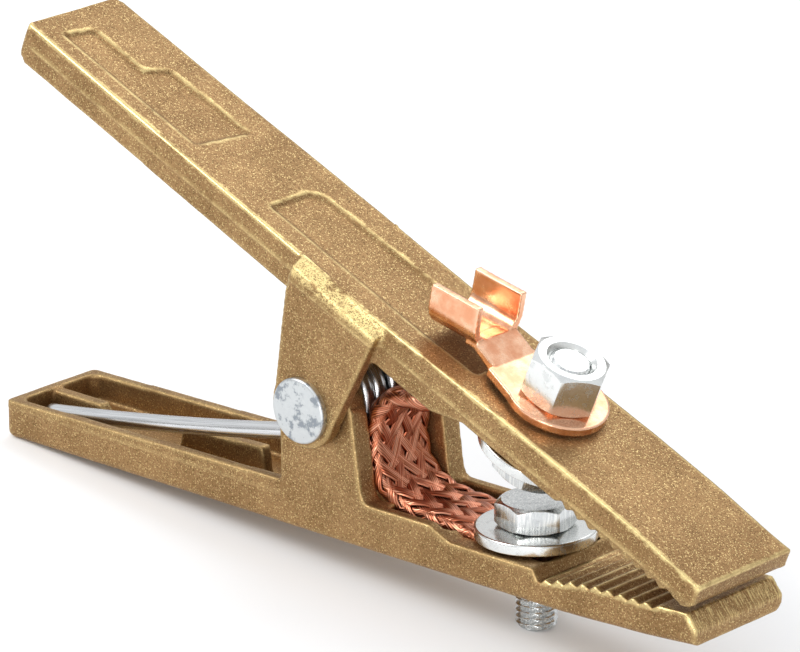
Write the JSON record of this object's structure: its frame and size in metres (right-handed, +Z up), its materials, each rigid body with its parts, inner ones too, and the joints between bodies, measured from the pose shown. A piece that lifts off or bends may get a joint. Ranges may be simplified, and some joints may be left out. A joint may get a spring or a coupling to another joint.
{
  "type": "ground clamp",
  "caption": "Cast brass welding ground clamp: riveted arms with toothed jaws, a torsion spring, a bolted copper cable lug and a copper braid that joins the jaws.",
  "frame": {"origin": "centre of the bounding box's underside; the clamp lies on its lower tail and on the end of its lower bolt", "axes": "+X from the tails to the jaws, +Y across the clamp, +Z up"},
  "size_m": [0.2224, 0.043, 0.1092],
  "materials": {
    "cast_brass": "sand-cast, tumbled",
    "zinc_steel": "bright zinc plated",
    "spring_steel": "bright drawn wire",
    "lug_copper": "polished copper sheet",
    "braid_copper": "bare braided copper wire"
  },
  "bodies": {
    "lower": {"lower_arm": "cast_brass", "lower_bolt": "zinc_steel", "lower_washer": "zinc_steel", "braid_strap": "braid_copper", "torsion_spring": "spring_steel"},
    "upper": {"upper_arm": "cast_brass", "pivot_rivet": "zinc_steel", "upper_bolt": "zinc_steel", "upper_washer": "zinc_steel", "upper_nut": "zinc_steel", "cable_lug": "lug_copper"}
  },
  "joints": [
    {"name": "jaw_pivot", "type": "hinge", "parent": "lower", "child": "upper", "pos_m": [-0.00779, 0, 0.04092], "axis": [0, -1, 0], "range_deg": [0, 30], "stiffness_Nm_per_rad": 12, "springref_deg": -57.3, "deforming": ["torsion_spring", "braid_strap"]}
  ]
}
